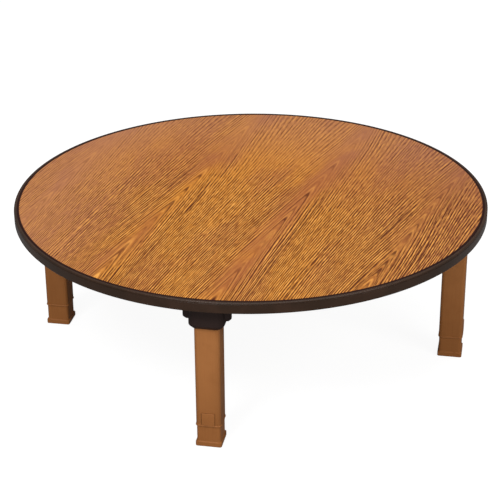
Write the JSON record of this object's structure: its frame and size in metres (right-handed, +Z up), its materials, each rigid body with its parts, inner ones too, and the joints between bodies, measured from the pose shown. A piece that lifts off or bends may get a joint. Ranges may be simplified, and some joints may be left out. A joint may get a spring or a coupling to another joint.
{
  "type": "folding low table",
  "caption": "Round low floor-sitting table with a wood-grain top, dark moulded edge and square folding legs that swing inwards under the board.",
  "frame": {"origin": "centre of the footprint on the floor, under the middle of the round top", "axes": "+Z up out of the tabletop; the legs stand on +X, +Y, -X and -Y"},
  "size_m": [0.7999, 0.8, 0.27],
  "materials": {
    "wood_laminate": "satin wood-grain decor laminate, orange brown",
    "fibreboard": "raw medium-density fibreboard",
    "backing_paper": "plain brown balancing sheet",
    "edge_plastic": "dark brown moulded edge, satin",
    "bracket_plastic": "near-black brown moulded plastic, satin",
    "leg_plastic": "caramel brown moulded plastic, satin",
    "pad_rubber": "matt rubber",
    "spring_steel": "bright spring steel",
    "rivet_steel": "zinc-plated steel",
    "screw_steel": "zinc-plated steel"
  },
  "bodies": {
    "table_top": {"tabletop_core": "fibreboard", "top_laminate": "wood_laminate", "underside_backing": "backing_paper", "edge_moulding": "edge_plastic", "hinge_bracket_right": "bracket_plastic", "detent_spring_right": "spring_steel", "hinge_bracket_back": "bracket_plastic", "detent_spring_back": "spring_steel", "hinge_bracket_left": "bracket_plastic", "detent_spring_left": "spring_steel", "hinge_bracket_front": "bracket_plastic", "detent_spring_front": "spring_steel", "pivot_rivets": "rivet_steel", "bracket_screws": "screw_steel"},
    "right_leg": {"leg_right": "leg_plastic", "foot_shoe_right": "leg_plastic", "sole_pad_right": "pad_rubber"},
    "back_leg": {"leg_back": "leg_plastic", "foot_shoe_back": "leg_plastic", "sole_pad_back": "pad_rubber"},
    "left_leg": {"leg_left": "leg_plastic", "foot_shoe_left": "leg_plastic", "sole_pad_left": "pad_rubber"},
    "front_leg": {"leg_front": "leg_plastic", "foot_shoe_front": "leg_plastic", "sole_pad_front": "pad_rubber"}
  },
  "joints": [
    {"name": "right_leg_fold", "type": "hinge", "parent": "table_top", "child": "right_leg", "pos_m": [0.351, 0, 0.2271], "axis": [0, 1, 0], "range_deg": [0, 90], "deforming": ["detent_spring_right"]},
    {"name": "back_leg_fold", "type": "hinge", "parent": "table_top", "child": "back_leg", "pos_m": [0, 0.351, 0.2271], "axis": [-1, 0, 0], "range_deg": [0, 90], "deforming": ["detent_spring_back"]},
    {"name": "left_leg_fold", "type": "hinge", "parent": "table_top", "child": "left_leg", "pos_m": [-0.351, 0, 0.2271], "axis": [0, -1, 0], "range_deg": [0, 90], "deforming": ["detent_spring_left"]},
    {"name": "front_leg_fold", "type": "hinge", "parent": "table_top", "child": "front_leg", "pos_m": [0, -0.351, 0.2271], "axis": [1, 0, 0], "range_deg": [0, 90], "deforming": ["detent_spring_front"]}
  ]
}
